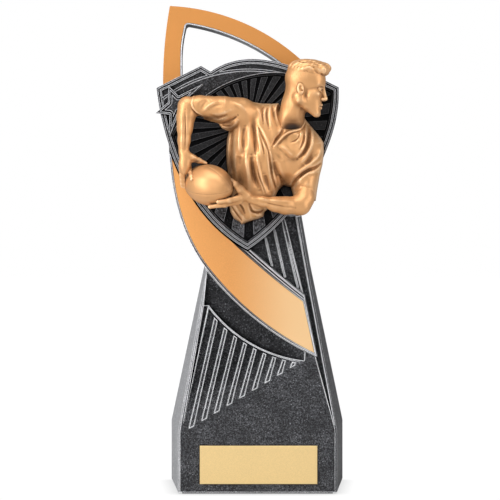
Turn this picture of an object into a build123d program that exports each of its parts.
from build123d import *
import math
import os

# Rugby player award: a cold-cast resin trophy with a tapered tower, an arched band that turns
# into a ribbon across the tower, a shield with a sunburst, and a half-length player in relief.
# Origin: centre of the base's underside.  +X right, -Y towards the viewer, +Z up.  Millimetres.

# ---- driving dimensions -------------------------------------------------------------------
overall_height = 240.0
base_width = 78.0
base_depth = 50.0
base_height = 31.0
base_rake = 6.4            # degrees that each side flares towards the back
column_slope = 0.1775      # how fast each side of the column draws in, per mm of height
column_thickness = 18.0    # front to back, above the sloping back
back_slope_top = 112.0     # height where the sloping back ends
spine_top = 185.0          # height where the column's spine ends behind the leaf
edge_chamfer = 0.9

band_thickness = 12.0
band_gap = 0.3             # clearance between the band and its seat in the tower
arch_rim = 0.5             # silver rim that is left round the arch's opening
rim_depth = 0.8            # how deep the gold facings are let in
ribbon_rise = 2.2          # the ribbon stands this proud of the tower's front
ribbon_crown = 1.6         # extra height in the middle of the ribbon's facing
ribbon_crown_radius = 300.0
facing_gap = 0.2
facing_trim = 1.0          # extra height that the bowed face is cut down from

shield_thickness = 6.5
shield_back_wall = 2.0
shield_rim = 2.4
shield_gap = 0.9           # clearance between the shield and the ribbon
rim_groove = 0.6           # depth of the groove along the shield's rim
ridge_width = 1.2
moulding_drop = 1.8        # how far the grey moulding falls from its ridge to the field
moulding_width = 9.0
moulding_step = 0.3        # how far the moulding starts below the ridge
dark_band_depth = 1.0
panel_thickness = 1.0
panel_gap = 0.2
ray_count = 30
ray_angle = 6.8            # degrees
ray_height = 1.2
ray_margin = 1.7           # black gap between the ray ends and the rim
hub_radius = 4.0           # where the rays meet, behind the player
border_width = 0.7         # thin raised line inside the field's edge
star_pocket = 1.3
star_thickness = 2.5
star_line = 0.9            # width of the star's raised edge, and of the groove inside it
star_dip = 0.7

plate_width = 57.7
plate_height = 18.8
plate_thickness = 0.6
plate_centre_x = 0.5
plate_centre_z = 14.4
adhesive_thickness = 0.3
adhesive_inset = 1.8
felt_thickness = 0.8
felt_inset = 2.0

rim_line = 1.6             # width of the raised line down each edge of the column
bar_count = 9
bar_rise = 0.4
bar_root = 0.6             # how far the bars and stripes reach below the floor they stand on
bar_lip = 1.6              # distance from the hollow's edge to the tops of the bars
bar_top_width = 1.5
bar_foot_width = 2.4
field_depth = 1.2
field_slope = 5.0          # degrees
strip_depth = 1.2
groove_slope = 12.0        # degrees
groove_start = 1.0         # depth of the hollow where it leaves the ribbon
groove_depth = 7.0
groove_lip = 0.7           # width of the edge between the hollow and the striped field
stripe_depth = 0.7
stripe_width = 0.9

pin_radius = 1.5
pin_gap = 0.1
pin_cover = 2.0            # wall that is left behind the band's pins
pin_reach = 6.0            # how deep a pin goes into the band or the player
pin_start = 5.0            # how deep the shield's pins go into the band
joint_pin_half = 5.0       # half the length of the pins in the neck and the shoulder
figure_gap = 0.3           # clear space between the player's cast pieces

ball_length = 31.0
ball_width = 19.6
head_height = 29.0
head_breadth = 19.5
chest_depth = 18.0
chest_side_depth = 10.0
chest_foot_depth = 11.0
rim_clearance = 3.0        # how far outside the field the player's back clears the rim

os.makedirs("parts", exist_ok=True)

# ---- shared frame -------------------------------------------------------------------------
# The artwork's outlines are drawn for the 240 mm size, on a base 78 mm wide and 31 mm high.
# They follow the overall height, and what lies on the column follows the column's width.
drawn_height = 240.0
drawn_width = 78.0
drawn_base = 31.0
drawn_slope = 0.1775
art_scale = (overall_height - base_height) / (drawn_height - drawn_base)
front_y = -base_depth / 2
front = Plane.XZ.offset(-front_y)
relief_y = front_y - shield_back_wall - panel_thickness - ray_height


def art(x, z):
    """A point of the front artwork, as x and height."""
    return (x * art_scale, base_height + (z - drawn_base) * art_scale)


def arts(*points):
    return [art(x, z) for x, z in points]


def fig(x, depth, z):
    """A point of the player, with its depth in front of the sunburst's rays."""
    ax, az = art(x, z)
    return Vector(ax, relief_y - depth * art_scale, az)


def front_at(depth):
    """The artwork's plane, moved forward of the tower's front by depth."""
    return front.offset(depth)


def half_width(z):
    """Half the front width of the tower at a height."""
    return base_width / 2 - column_slope * max(0.0, z - base_height)


def on_column(x, z):
    """A point of the artwork that keeps its share of the column's width at its height."""
    height = art(0, z)[1]
    drawn_half = drawn_width / 2 - drawn_slope * max(0.0, z - drawn_base)
    return (x * half_width(height) / drawn_half, height)


def on_columns(*points):
    return [on_column(x, z) for x, z in points]


def circle_through(a, b, c):
    """The centre and radius of the circle through three points."""
    size_a, size_b, size_c = (x * x + z * z for x, z in (a, b, c))
    twice = 2 * (a[0] * (b[1] - c[1]) + b[0] * (c[1] - a[1]) + c[0] * (a[1] - b[1]))
    x = (size_a * (b[1] - c[1]) + size_b * (c[1] - a[1]) + size_c * (a[1] - b[1])) / twice
    z = (size_a * (c[0] - b[0]) + size_b * (a[0] - c[0]) + size_c * (b[0] - a[0])) / twice
    return (x, z), math.hypot(a[0] - x, a[1] - z)


def inset(sketch, amount):
    """A sketch drawn in by an amount on every side, with its long curves as plain splines."""
    drawn = offset(sketch, amount=-amount, kind=Kind.ARC, mode=Mode.PRIVATE)
    spans = 12
    with BuildSketch(Plane.XY, mode=Mode.PRIVATE) as redrawn:
        with BuildLine():
            for edge in drawn.edges():
                if edge.geom_type in (GeomType.LINE, GeomType.CIRCLE):
                    add(edge)
                else:
                    Spline(*[edge @ (span / spans) for span in range(spans + 1)],
                           tangents=(edge % 0, edge % 1))
        make_face()
    return redrawn.sketch


# ---- outlines -----------------------------------------------------------------------------
with BuildSketch() as shield_outline:
    with BuildLine():
        Polyline(*arts((-49.4, 199.0), (-27.6, 209.8), (-22.9, 207.0)))
        Spline(*arts((-22.9, 207.0), (-4.6, 213.1), (15.8, 209.8), (39.6, 199.3)))
        Spline(*arts((39.6, 199.3), (38.9, 186.7), (33.0, 167.1), (14.1, 136.7), (-4.9, 120.2)))
        Spline(*arts((-4.9, 120.2), (-28.6, 141.5), (-41.3, 165.5), (-46.9, 184.2), (-49.4, 199.0)))
    make_face()

with BuildSketch() as ribbon_outline:
    with BuildLine():
        Spline(*arts((-43.6, 172.0), (-41.6, 151.9), (-36.5, 132.0)), on_column(-25.7, 111.6))
        ThreePointArc(*on_columns((-25.7, 111.6), (-4.6, 89.4), (28.9, 67.9)))
        Line(*on_columns((28.9, 67.9), (22.8, 97.8)))
        ThreePointArc(*on_columns((22.8, 97.8), (-1.2, 117.9)), art(-27.0, 142.0))
        Line(*arts((-27.0, 142.0), (-43.6, 172.0)))
    make_face()

front_top = 137.0          # height on the drawing where the column's front ends
leaf_foot = on_columns((20.2, front_top), (-22.0, front_top))
with BuildSketch() as leaf_outline:
    with BuildLine():
        ThreePointArc(*arts((-43.1, 239.9), (-6.4, 231.4), (20.4, 214.3)))
        Spline(*arts((20.4, 214.3), (29.0, 203.0), (33.0, 188.0), (30.0, 165.0)), leaf_foot[0])
        Polyline(*leaf_foot, art(-41.2, 150.0))
        Spline(*arts((-41.2, 150.0), (-43.3, 169.0), (-46.2, 195.0), (-46.0, 215.9), (-43.1, 239.9)))
    make_face()

with BuildSketch() as arch_hole:
    with BuildLine():
        ThreePointArc(*arts((-35.0, 231.2), (-5.7, 222.0), (17.5, 206.4)))
        Polyline(*arts((17.5, 206.4), (16.0, 204.5), (-37.3, 199.5), (-37.3, 213.0)))
        ThreePointArc(*arts((-37.3, 213.0), (-36.8, 222.4), (-35.0, 231.2)))
    make_face()
    fillet(arch_hole.vertices().sort_by(Axis.Y)[-1], 1.5 * art_scale)

star_points = arts((-43.3, 199.8), (-38.6, 194.9), (-27.1, 200.5), (-33.4, 194.6), (-30.6, 184.6),
                   (-38.2, 187.0), (-42.9, 175.2), (-42.9, 186.0), (-49.6, 186.7), (-43.6, 191.8))
with BuildSketch() as star_outline:
    Polygon(*star_points, align=None)

ridge_centre = art(-4.0, 137.2)
ridge_radius = 71.1 * art_scale
field_centre = art(8.7, 148.7)
field_radius = 57.7 * art_scale
ray_centre = art(-4.3, 180.9)

with BuildSketch() as field_outline:
    add(inset(shield_outline.sketch, shield_rim))
    with Locations(field_centre):
        Circle(field_radius, mode=Mode.INTERSECT)

# ---- dowels: their centres on the front, and the depths that they reach -------------------
band_pin_points = [art(-4.0, 146.0), art(-4.0, 172.0)]
shield_pin_points = [art(-30.0, 190.0), art(22.0, 190.0), art(-14.0, 152.0)]
figure_pin_points = [art(-4.0, 176.0), art(6.0, 164.0)]
band_pin_back = pin_cover - column_thickness
band_pin_front = -pin_reach
shield_pin_back = -pin_start
figure_pin_front = shield_back_wall + panel_thickness + ray_height + pin_reach


def pins(points, back, ahead, radius):
    """Dowels square to the front, from one depth to another, in front of the front plane."""
    with BuildPart() as dowels:
        with BuildSketch(front_at(back)):
            with Locations(*points):
                Circle(radius)
        extrude(amount=ahead - back)
    return dowels.part


# ---- tower --------------------------------------------------------------------------------
top_z = art(0, front_top)[1]
spine_z = art(0, spine_top)[1]
slope_z = art(0, back_slope_top)[1]
below = -base_height
back_y = -front_y
column_back = front_y + column_thickness
spine_front = front_y + band_thickness

with BuildPart() as tower_blank:
    with BuildSketch(front):
        with BuildLine():
            Polyline((half_width(0), below), (half_width(0), base_height),
                     (half_width(spine_z), spine_z), (-half_width(spine_z), spine_z),
                     (-half_width(0), base_height), (-half_width(0), below), close=True)
        make_face()
    extrude(amount=-base_depth, taper=-base_rake)
    side_edges = tower_blank.faces().sort_by(Axis.Y)[0].edges().filter_by(
        lambda edge: abs(edge.tangent_at(0.5).X) < 0.9)
    chamfer(side_edges, edge_chamfer)
    with BuildSketch(Plane.YZ):
        with BuildLine():
            Polyline((front_y, felt_thickness), (back_y, felt_thickness), (back_y, base_height),
                     (column_back, slope_z), (column_back, spine_z), (spine_front, spine_z),
                     (spine_front, top_z), (front_y, top_z), close=True)
        make_face()
    extrude(amount=2 * base_width, both=True, mode=Mode.INTERSECT)

# The recessed strips between the column's rims and the lines of the front panels.
strip_top = art(0, 92.4)[1]
left_strip = [(rim_line - half_width(strip_top), strip_top),
              *on_columns((-24.3, 92.4), (-36.6, 33.9))]
right_strip = on_columns((27.8, 69.8), (22.6, 97.8), (14.7, 129.8), (13.0, 136.9))
right_strip += [(half_width(top_z) - rim_line, right_strip[-1][1]),
                (half_width(base_height) - 0.6 * rim_line, base_height + rim_line)]

# The hollow below the ribbon: deepest along its lower edge.
groove_points = on_columns((-24.0, 92.7), (0.0, 72.42), (22.9, 65.55))
groove_centre, groove_radius = circle_through(*groove_points)


def below_groove(x, extra=0.0):
    """A point on the hollow's lower edge, at an x, moved outward by extra."""
    radius = groove_radius + extra
    return (x, groove_centre[1] - math.sqrt(radius ** 2 - (x - groove_centre[0]) ** 2))


groove_left, groove_middle, groove_right = (x for x, z in groove_points)
ribbon_left_x, ribbon_left_z = on_column(-25.7, 111.6)
ribbon_normal = Vector(-0.65, 0.0, -0.76)
ribbon_x, ribbon_z = on_column(-4.6, 89.4)
ribbon_point = Vector(ribbon_x, front_y, ribbon_z)
tilt = math.radians(groove_slope)
groove_plane = Plane(origin=ribbon_point + Vector(0, groove_start, 0),
                     z_dir=Vector(0, -math.cos(tilt), 0) + ribbon_normal * math.sin(tilt))
with BuildPart() as groove:
    with BuildSketch(front):
        with BuildLine():
            ThreePointArc(below_groove(groove_left), below_groove(groove_middle),
                          below_groove(groove_right))
            Polyline(below_groove(groove_right), *on_columns((23.3, 69.8), (20.0, 73.0)))
            ThreePointArc(*on_columns((20.0, 73.0), (-4.6, 91.0)),
                          (ribbon_left_x + 1.0, ribbon_left_z))
            Polyline((ribbon_left_x + 1.0, ribbon_left_z),
                     (rim_line - half_width(groove_points[0][1]), groove_points[0][1]),
                     below_groove(groove_left))
        make_face()
    extrude(amount=-groove_depth)
    with BuildSketch(groove_plane):
        Rectangle(3 * base_width, 3 * base_width)
    extrude(amount=base_depth, mode=Mode.INTERSECT)

# The striped field under the hollow, and the raised bars on it.
field_left = on_column(-36.6, 33.9)
field_right = on_column(20.5, 63.6)
field_run = Vector(field_right[0] - field_left[0], 0, field_right[1] - field_left[1])
field_normal = Vector(-field_run.Z, 0, field_run.X).normalized()
lean = math.radians(field_slope)
field_plane = Plane(origin=(field_left[0], front_y, field_left[1]),
                    z_dir=Vector(0, -math.cos(lean), 0) + field_normal * math.sin(lean))
with BuildPart() as striped_field:
    with BuildSketch(front):
        with BuildLine():
            Line(field_left, field_right)
            Line(field_right, below_groove(field_right[0], groove_lip))
            ThreePointArc(below_groove(field_right[0], groove_lip),
                          below_groove(groove_middle, groove_lip),
                          below_groove(groove_left, groove_lip))
            Line(below_groove(groove_left, groove_lip), field_left)
        make_face()
    extrude(amount=-field_depth)
    with BuildSketch(field_plane):
        Rectangle(3 * base_width, 3 * base_width)
    extrude(amount=base_depth, mode=Mode.INTERSECT)

foot_line = on_columns((-33.7, 32.3), (15.9, 62.06))
top_line = [below_groove(on_column(-21.2, 90.4)[0])[0], below_groove(on_column(17.12, 66.2)[0])[0]]
with BuildPart() as bars:
    with BuildSketch(front_at(bar_rise)):
        for bar in range(bar_count):
            share = bar / (bar_count - 1)
            top_x = top_line[0] + (top_line[1] - top_line[0]) * share
            foot_x, foot_z = (low + (high - low) * share for low, high in zip(*foot_line))
            Polygon(below_groove(top_x, bar_lip), (foot_x, foot_z),
                    (foot_x + bar_foot_width, foot_z + bar_foot_width / 2),
                    below_groove(top_x + bar_top_width, bar_lip), align=None)
    extrude(amount=-(bar_rise + field_depth + bar_root))

# Slim raised stripes in the dark panel above the ribbon.
stripe_lines = [((3.2, 127.0), (6.6, 112.0)), ((7.5, 131.0), (13.0, 106.5)),
                ((11.6, 135.5), (19.4, 101.5))]
with BuildPart() as stripes:
    with BuildSketch(front):
        for top, bottom in stripe_lines:
            top_x, top_height = on_column(*top)
            bottom_x, bottom_height = on_column(*bottom)
            Polygon((top_x, top_height), (bottom_x, bottom_height),
                    (bottom_x + stripe_width, bottom_height),
                    (top_x + stripe_width, top_height), align=None)
    extrude(amount=-(stripe_depth + bar_root))
with BuildPart() as upper_panel:
    with BuildSketch(front):
        Polygon(*on_columns((-6.0, 118.5), (0.0, 125.0), (11.9, 136.9), (21.4, 100.2),
                            (9.0, 107.5)), align=None)
    extrude(amount=-stripe_depth)
with BuildPart() as strips:
    with BuildSketch(front):
        Polygon(*left_strip, align=None)
        Polygon(*right_strip, align=None)
    extrude(amount=-strip_depth)

# The seat that takes the leaf and the ribbon.
with BuildPart() as band_seat:
    with BuildSketch(front):
        add(inset(ribbon_outline.sketch, -band_gap))
        add(inset(leaf_outline.sketch, -band_gap))
    extrude(amount=-band_thickness)

with BuildPart() as tower_body:
    add(tower_blank.part)
    add(striped_field.part, mode=Mode.SUBTRACT)
    add(bars.part)
    add(groove.part, mode=Mode.SUBTRACT)
    add(strips.part, mode=Mode.SUBTRACT)
    add(upper_panel.part, mode=Mode.SUBTRACT)
    add(stripes.part)
    add(band_seat.part, mode=Mode.SUBTRACT)
    add(pins(band_pin_points, band_pin_back - pin_gap, band_pin_front, pin_radius + pin_gap),
        mode=Mode.SUBTRACT)
tower_body.part.label = "tower_body"
export_step(tower_body.part, "parts/tower_body.step")

# ---- band: arch, leaf plate behind the shield, and ribbon ----------------------------------
with BuildPart() as leaf_half:
    with BuildSketch(front):
        add(leaf_outline.sketch)
    extrude(amount=-band_thickness)
    with BuildSketch(front):
        add(arch_hole.sketch)
    extrude(amount=-band_thickness, mode=Mode.SUBTRACT)

# The arch's gold face: the whole front of the leaf, but for a rim round the opening, stopped
# under the shield.
arch_face_foot = art(0, 196.0)[1]
with BuildSketch() as arch_face:
    add(leaf_outline.sketch)
    add(inset(arch_hole.sketch, -arch_rim), mode=Mode.SUBTRACT)
    with Locations((0, arch_face_foot + base_width)):
        Rectangle(3 * base_width, 2 * base_width, mode=Mode.INTERSECT)

ribbon_front = front_at(ribbon_rise)
with BuildSketch() as ribbon_face:
    with BuildLine():
        Spline(*arts((-42.6, 172.0), (-40.6, 151.9), (-35.5, 132.4)), on_column(-24.9, 112.6))
        ThreePointArc(*on_columns((-24.9, 112.6), (-3.9, 90.3), (28.1, 69.2)))
        Line(*on_columns((28.1, 69.2), (22.4, 94.8)))
        ThreePointArc(*on_columns((22.4, 94.8), (-3.2, 115.6)), art(-28.2, 139.6))
        Line(*arts((-28.2, 139.6), (-42.6, 172.0)))
    make_face()
with BuildPart() as ribbon_half:
    with BuildSketch(ribbon_front):
        add(ribbon_outline.sketch)
    extrude(amount=-(ribbon_rise + band_thickness))
    with BuildSketch(ribbon_front):
        add(ribbon_face.sketch)
    extrude(amount=-rim_depth, mode=Mode.SUBTRACT)
    # The groove that runs along the upper rim.
    with BuildSketch(ribbon_front):
        with BuildLine():
            ThreePointArc(*on_columns((22.7, 96.0), (-2.3, 116.7)), art(-28.4, 141.6))
            Line(*arts((-28.4, 141.6), (-27.8, 142.4)))
            ThreePointArc(art(-27.8, 142.4), *on_columns((-1.6, 117.4), (22.7, 96.9)))
            Line(*on_columns((22.7, 96.9), (22.7, 96.0)))
        make_face()
    extrude(amount=-rim_depth, mode=Mode.SUBTRACT)

with BuildPart() as swoosh_band:
    add(leaf_half.part)
    add(ribbon_half.part)
    with BuildSketch(front):
        add(arch_face.sketch)
    extrude(amount=-rim_depth, mode=Mode.SUBTRACT)
    with BuildSketch(front):
        add(inset(shield_outline.sketch, -shield_gap))
    extrude(amount=shield_thickness, mode=Mode.SUBTRACT)
    add(pins(band_pin_points, band_pin_back, band_pin_front + pin_gap, pin_radius + pin_gap),
        mode=Mode.SUBTRACT)
    add(pins(shield_pin_points, shield_pin_back - pin_gap, 0.0, pin_radius + pin_gap),
        mode=Mode.SUBTRACT)
swoosh_band.part.label = "swoosh_band"
export_step(swoosh_band.part, "parts/swoosh_band.step")

with BuildPart() as arch_facing:
    with BuildSketch(front_at(-rim_depth)):
        add(leaf_outline.sketch)
        add(inset(arch_hole.sketch, -(arch_rim + facing_gap)), mode=Mode.SUBTRACT)
        with Locations((0, arch_face_foot + facing_gap + base_width)):
            Rectangle(3 * base_width, 2 * base_width, mode=Mode.INTERSECT)
    extrude(amount=rim_depth)
    with BuildSketch(front):
        add(inset(shield_outline.sketch, -facing_gap))
    extrude(amount=-rim_depth, mode=Mode.SUBTRACT)
arch_facing.part.label = "arch_facing"
export_step(arch_facing.part, "parts/arch_facing.step")

# The ribbon's gold face bows gently forward about an upright axis.
crown_y = front_y - ribbon_rise - ribbon_crown
crown_x = art(-7.0, 0)[0]
with BuildPart() as ribbon_facing:
    with BuildSketch(front_at(ribbon_rise - rim_depth)):
        add(inset(ribbon_face.sketch, facing_gap))
    extrude(amount=rim_depth + ribbon_crown + facing_trim)
    with BuildSketch(Plane.XY):
        with Locations((crown_x, crown_y + ribbon_crown_radius)):
            Circle(ribbon_crown_radius)
    extrude(amount=overall_height, mode=Mode.INTERSECT)
    with BuildSketch(front):
        add(inset(shield_outline.sketch, -shield_gap))
    extrude(amount=shield_thickness, mode=Mode.SUBTRACT)
ribbon_facing.part.label = "ribbon_facing"
export_step(ribbon_facing.part, "parts/ribbon_facing.step")

# ---- shield --------------------------------------------------------------------------------
# The cutter for the grey moulding: it falls like a shallow cone from the ridge to the field.
moulding_front = shield_thickness - moulding_step
cone_steps = 6             # the cutter's cone runs this many moulding widths inwards
with BuildPart(front_at(moulding_front)) as moulding_cone:
    with Locations((ridge_centre[0], ridge_centre[1], 0)):
        Cone(ridge_radius - ridge_width - cone_steps * moulding_width, ridge_radius - ridge_width,
             cone_steps * moulding_drop, align=(Align.CENTER, Align.CENTER, Align.MAX))
        Cylinder(ridge_radius - ridge_width, shield_thickness,
                 align=(Align.CENTER, Align.CENTER, Align.MIN))
with BuildPart() as moulding_cut:
    with BuildSketch(front_at(moulding_front + shield_thickness / 2)):
        add(inset(shield_outline.sketch, shield_rim))
    extrude(amount=-(moulding_drop + shield_thickness / 2))
    add(moulding_cone.part, mode=Mode.INTERSECT)

with BuildPart() as shield_frame:
    with BuildSketch(front):
        add(shield_outline.sketch)
    extrude(amount=shield_thickness)
    # The groove between the rim's two raised lines.
    with BuildSketch(front_at(shield_thickness)):
        add(inset(shield_outline.sketch, shield_rim / 3))
        add(inset(shield_outline.sketch, shield_rim * 2 / 3), mode=Mode.SUBTRACT)
    extrude(amount=-rim_groove, mode=Mode.SUBTRACT)
    # The dark band between the rim and the ridge.
    with BuildSketch(front_at(shield_thickness)):
        add(inset(shield_outline.sketch, shield_rim))
        with Locations(ridge_centre):
            Circle(ridge_radius, mode=Mode.SUBTRACT)
    extrude(amount=-dark_band_depth, mode=Mode.SUBTRACT)
    add(moulding_cut.part, mode=Mode.SUBTRACT)
    # The field that holds the sunburst.
    with BuildSketch(front_at(shield_thickness)):
        add(field_outline.sketch)
    extrude(amount=-(shield_thickness - shield_back_wall), mode=Mode.SUBTRACT)
    with BuildSketch(front_at(shield_thickness)):
        add(inset(star_outline.sketch, -panel_gap))
    extrude(amount=-star_pocket, mode=Mode.SUBTRACT)
    add(pins(shield_pin_points, -pin_start, shield_back_wall, pin_radius + pin_gap),
        mode=Mode.SUBTRACT)
    add(pins(figure_pin_points, -pin_start, shield_back_wall, pin_radius + pin_gap),
        mode=Mode.SUBTRACT)
shield_frame.part.label = "shield_frame"
export_step(shield_frame.part, "parts/shield_frame.step")

ray_length = 2 * base_width
ray_half = ray_length * math.tan(math.radians(ray_angle / 2))
with BuildPart() as sunburst_panel:
    with BuildSketch(front_at(shield_back_wall)):
        add(inset(field_outline.sketch, panel_gap))
    extrude(amount=panel_thickness)
    with BuildSketch(front_at(shield_back_wall + panel_thickness)):
        with Locations(ray_centre):
            with PolarLocations(0, ray_count):
                Polygon((0, 0), (ray_length, ray_half), (ray_length, -ray_half), align=None)
            Circle(hub_radius)
        add(inset(field_outline.sketch, ray_margin), mode=Mode.INTERSECT)
    extrude(amount=ray_height)
    # A thin raised line just inside the field's edge.
    with BuildSketch(front_at(shield_back_wall + panel_thickness)):
        add(inset(field_outline.sketch, panel_gap))
        add(inset(field_outline.sketch, panel_gap + border_width), mode=Mode.SUBTRACT)
    extrude(amount=ray_height)
    add(pins(figure_pin_points, 0.0, shield_thickness, pin_radius + pin_gap),
        mode=Mode.SUBTRACT)
sunburst_panel.part.label = "sunburst_panel"
export_step(sunburst_panel.part, "parts/sunburst_panel.step")

star_back = shield_thickness - star_pocket
with BuildPart() as star_badge:
    with BuildSketch(front_at(star_back)):
        add(star_outline.sketch)
    extrude(amount=star_thickness)
    with BuildSketch(front_at(star_back + star_thickness)):
        add(inset(star_outline.sketch, star_line))
        add(inset(star_outline.sketch, 2 * star_line), mode=Mode.SUBTRACT)
    extrude(amount=-star_dip, mode=Mode.SUBTRACT)
star_badge.part.label = "star_badge"
export_step(star_badge.part, "parts/star_badge.step")

# ---- player: plain solids of the cast pieces, at their real places and sizes ----------------
ball_centre = fig(-23.6, 14.5, 151.3)
ball_axis = Vector(0.72, -0.68, -0.12)
neck_z = art(0, 183.0)[1]
hem_z = art(0, 145.0)[1]
shoulder_x = art(-17.0, 0)[0]
chest_y = relief_y - chest_depth * art_scale
side_y = relief_y - chest_side_depth * art_scale
foot_y = relief_y - chest_foot_depth * art_scale

right_arm_line = [(fig(-12.0, 9.8, 188.2), 5.9), (fig(-27.7, 12.8, 188.0), 5.6),
                  (fig(-33.9, 14.8, 188.8), 4.9), (fig(-34.6, 15.8, 181.3), 3.6),
                  (fig(-35.3, 15.8, 172.6), 3.0), (fig(-35.6, 15.8, 167.4), 2.8),
                  (fig(-35.1, 15.8, 163.5), 3.2), (fig(-34.1, 15.8, 153.5), 2.4)]
thumb_line = [(fig(-34.3, 16.8, 165.4), 2.8), (fig(-29.0, 18.8, 163.1), 1.9),
              (fig(-24.7, 17.8, 162.1), 1.6)]
left_arm_line = [(fig(22.5, 7.8, 148.0), 5.2), (fig(21.2, 9.8, 141.2), 5.9),
                 (fig(8.8, 13.8, 142.3), 5.8), (fig(-3.7, 18.8, 144.3), 4.2),
                 (fig(-10.4, 19.8, 145.7), 4.4), (fig(-16.6, 21.5, 141.0), 2.4),
                 (fig(-22.4, 21.0, 141.0), 1.9)]
neck_line = [(fig(15.6, 10.8, 178.0), 5.0), (fig(20.3, 12.8, 193.0), 5.2)]
head_centre = fig(23.8, 12.9, 198.4)
head_lean = Vector(0.08, 0.0, 1.0)


def limb(stations, extra=0.0):
    """A round limb through (centre, radius) stations: a ball at each and a cone between two."""
    with BuildPart() as shape:
        for centre, radius in stations:
            with Locations(centre):
                Sphere(radius * art_scale + extra)
        for (start, first), (end, last) in zip(stations, stations[1:]):
            run = end - start
            with Locations(Plane(origin=start, z_dir=run)):
                Cone(first * art_scale + extra, last * art_scale + extra, run.length,
                     align=(Align.CENTER, Align.CENTER, Align.MIN))
    return shape.part


def oval(centre, long_axis, length, width, extra=0.0):
    """A solid of revolution about its long axis: long side arcs with a ball at each end."""
    half = length / 2 * art_scale + extra
    waist = width / 2 * art_scale + extra
    cap_x = 0.9 * half
    cap_y = 0.42 * waist
    cap_centre = (half ** 2 - cap_x ** 2 - cap_y ** 2) / (2 * (half - cap_x))
    cap_radius = half - cap_centre
    lean_out = math.atan2(cap_y, cap_x - cap_centre) / 2
    cap_middle = (cap_centre + cap_radius * math.cos(lean_out), cap_radius * math.sin(lean_out))
    side = long_axis.cross(Vector(0, 1, 0))
    with BuildPart() as shape:
        with BuildSketch(Plane(origin=centre, x_dir=long_axis, z_dir=side)):
            with BuildLine():
                ThreePointArc((-cap_x, cap_y), (0, waist), (cap_x, cap_y))
                for end in (1, -1):
                    ThreePointArc((end * cap_x, cap_y), (end * cap_middle[0], cap_middle[1]),
                                  (end * half, 0))
                Line((-half, 0), (half, 0))
            make_face()
        revolve(axis=Axis(centre, long_axis))
    return shape.part


def dowel(start, end, radius):
    """A round pin from one point to another."""
    with BuildPart() as pin:
        with Locations(Plane(origin=start, z_dir=end - start)):
            Cylinder(radius, (end - start).length, align=(Align.CENTER, Align.CENTER, Align.MIN))
    return pin.part


across = Vector(joint_pin_half, 0, 0)
upright = Vector(0, 0, joint_pin_half)
neck_pin_ends = [fig(15.9, 10.9, 183.0) + upright * side for side in (-1, 1)]
shoulder_pin_ends = [fig(-17.0, 10.4, 188.1) + across * side for side in (1, -1)]
hem_pin_ends = [fig(22.6, 8.6, 145.0) + upright * 0.8 * side for side in (1, -1)]
joint_pins = [neck_pin_ends, shoulder_pin_ends, hem_pin_ends]
ball_space = oval(ball_centre, ball_axis, ball_length, ball_width, figure_gap)
left_space = limb(left_arm_line, figure_gap)
far = 4 * base_width

# What the player's pieces stay clear of: the shield's rim, all round the field.
with BuildPart() as rim_space:
    with BuildSketch(front):
        add(inset(shield_outline.sketch, -rim_clearance))
        add(inset(field_outline.sketch, figure_gap), mode=Mode.SUBTRACT)
    extrude(amount=shield_thickness + figure_gap)

with BuildPart() as rugby_ball:
    add(oval(ball_centre, ball_axis, ball_length, ball_width))
    add(rim_space.part, mode=Mode.SUBTRACT)
rugby_ball.part.label = "rugby_ball"
export_step(rugby_ball.part, "parts/rugby_ball.step")

with BuildPart() as right_arm:
    add(limb(right_arm_line))
    add(limb(thumb_line))
    with BuildSketch(Plane.YZ.offset(shoulder_x)):
        Rectangle(2 * far, 2 * far)
    extrude(amount=far, mode=Mode.SUBTRACT)
    add(ball_space, mode=Mode.SUBTRACT)
    add(rim_space.part, mode=Mode.SUBTRACT)
    add(dowel(*shoulder_pin_ends, pin_radius + pin_gap), mode=Mode.SUBTRACT)
right_arm.part.label = "right_arm"
export_step(right_arm.part, "parts/right_arm.step")

with BuildPart() as left_arm:
    add(limb(left_arm_line))
    with BuildSketch(Plane.XY.offset(hem_z)):
        with Locations((left_arm_line[0][0].X, relief_y)):
            Rectangle(base_depth, far)
    extrude(amount=far, mode=Mode.SUBTRACT)
    add(ball_space, mode=Mode.SUBTRACT)
    add(rim_space.part, mode=Mode.SUBTRACT)
    add(dowel(*hem_pin_ends, pin_radius + pin_gap), mode=Mode.SUBTRACT)
left_arm.part.label = "left_arm"
export_step(left_arm.part, "parts/left_arm.step")

with BuildPart() as figure_head:
    add(limb(neck_line))
    add(oval(head_centre, head_lean, head_height, head_breadth))
    with BuildSketch(Plane.XY.offset(neck_z)):
        Rectangle(far, far)
    extrude(amount=-far, mode=Mode.SUBTRACT)
    add(dowel(*neck_pin_ends, pin_radius + pin_gap), mode=Mode.SUBTRACT)
figure_head.part.label = "figure_head"
export_step(figure_head.part, "parts/figure_head.step")

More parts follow.
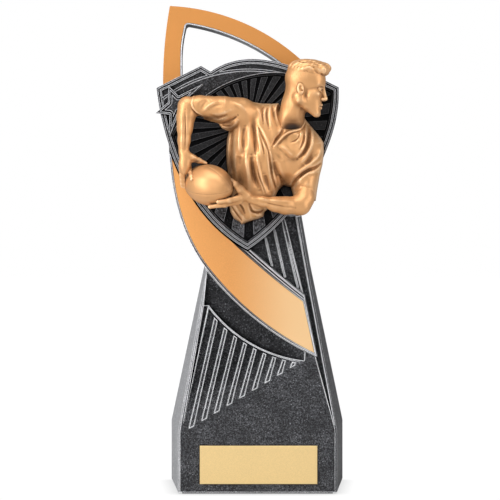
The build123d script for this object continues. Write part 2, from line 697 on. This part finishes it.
# The chest: its front outline, rounded by a bowed plan and a bowed side view.
torso_right = art(34.0, 0)[0]
torso_top = art(0, 196.0)[1]
torso_foot = art(0, 130.0)[1]
arch_left = (shoulder_x, side_y - 4.0 * art_scale)
arch_top = (foot_y - 2.0 * art_scale, torso_top)
with BuildPart() as figure_torso:
    with BuildSketch(front_at(front_y - relief_y)):
        with BuildLine():
            Polyline((shoulder_x, art(0, 181.5)[1]), (shoulder_x, art(0, 193.6)[1]),
                     *arts((-5.4, 193.9), (-2.0, 192.6), (9.2, 191.6), (11.0, 187.0)),
                     (art(11.3, 0)[0], neck_z), (art(24.2, 0)[0], neck_z),
                     *arts((26.7, 180.2), (30.5, 175.3), (32.5, 170.3), (31.7, 162.8),
                           (30.1, 156.5)),
                     (art(28.0, 0)[0], hem_z), (art(16.6, 0)[0], hem_z),
                     *arts((16.2, 150.9), (9.4, 150.9), (8.9, 145.6), (5.0, 139.5),
                           (-3.4, 134.0), (-8.0, 132.5), (-11.9, 135.4), (-13.9, 141.7),
                           (-11.2, 153.6), (-15.2, 157.8), (-15.4, 168.2), (-15.0, 177.8)),
                     close=True)
        make_face()
    extrude(amount=2 * chest_depth * art_scale)
    with BuildSketch(Plane.XY):
        with BuildLine():
            ThreePointArc(arch_left, ((shoulder_x + torso_right) / 2, chest_y),
                          (torso_right, side_y))
            Polyline((torso_right, side_y), (torso_right, back_y), (shoulder_x, back_y), arch_left)
        make_face()
    extrude(amount=2 * overall_height, mode=Mode.INTERSECT)
    with BuildSketch(Plane.YZ):
        with BuildLine():
            ThreePointArc((foot_y, torso_foot), (chest_y - 0.5, (torso_foot + torso_top) / 2),
                          arch_top)
            Polyline(arch_top, (back_y, torso_top), (back_y, torso_foot), (foot_y, torso_foot))
        make_face()
    extrude(amount=far, both=True, mode=Mode.INTERSECT)
    # Clear of the shield's rim, the ball and the forearm.
    add(rim_space.part, mode=Mode.SUBTRACT)
    add(ball_space, mode=Mode.SUBTRACT)
    add(left_space, mode=Mode.SUBTRACT)
    add(pins(figure_pin_points, 0.0, figure_pin_front + pin_gap, pin_radius + pin_gap),
        mode=Mode.SUBTRACT)
    for ends in joint_pins:
        add(dowel(*ends, pin_radius + pin_gap), mode=Mode.SUBTRACT)
figure_torso.part.label = "figure_torso"
export_step(figure_torso.part, "parts/figure_torso.step")

# ---- dowels --------------------------------------------------------------------------------
with BuildPart() as band_pins:
    add(pins(band_pin_points, band_pin_back, band_pin_front, pin_radius))
with BuildPart() as shield_pins:
    add(pins(shield_pin_points, shield_pin_back, shield_back_wall, pin_radius))
with BuildPart() as figure_pins:
    add(pins(figure_pin_points, 0.0, figure_pin_front, pin_radius))
with BuildPart() as neck_pin:
    add(dowel(*neck_pin_ends, pin_radius))
with BuildPart() as shoulder_pins:
    add(dowel(*shoulder_pin_ends, pin_radius))
    add(dowel(*hem_pin_ends, pin_radius))
pin_groups = {"band_pins": band_pins, "shield_pins": shield_pins, "figure_pins": figure_pins,
              "neck_pin": neck_pin, "shoulder_pins": shoulder_pins}
for name, group in pin_groups.items():
    group.part.label = name
    export_step(group.part, f"parts/{name}.step")

# ---- plate, its adhesive, and the felt ------------------------------------------------------
plate_centre = (plate_centre_x, plate_centre_z)
with BuildPart() as plate_adhesive:
    with BuildSketch(front):
        with Locations(plate_centre):
            Rectangle(plate_width - 2 * adhesive_inset, plate_height - 2 * adhesive_inset)
    extrude(amount=adhesive_thickness)
plate_adhesive.part.label = "plate_adhesive"
export_step(plate_adhesive.part, "parts/plate_adhesive.step")

with BuildPart() as engraving_plate:
    with BuildSketch(front_at(adhesive_thickness)):
        with Locations(plate_centre):
            Rectangle(plate_width, plate_height)
    extrude(amount=plate_thickness)
    chamfer(engraving_plate.faces().sort_by(Axis.Y)[0].edges(), plate_thickness / 3)
engraving_plate.part.label = "engraving_plate"
export_step(engraving_plate.part, "parts/engraving_plate.step")

base_back_half = base_width / 2 + base_depth * math.tan(math.radians(base_rake))
with BuildPart() as base_felt:
    with BuildSketch(Plane.XY):
        Polygon((felt_inset - base_width / 2, front_y + felt_inset),
                (base_width / 2 - felt_inset, front_y + felt_inset),
                (base_back_half - felt_inset, back_y - felt_inset),
                (felt_inset - base_back_half, back_y - felt_inset), align=None)
    extrude(amount=felt_thickness)
base_felt.part.label = "base_felt"
export_step(base_felt.part, "parts/base_felt.step")
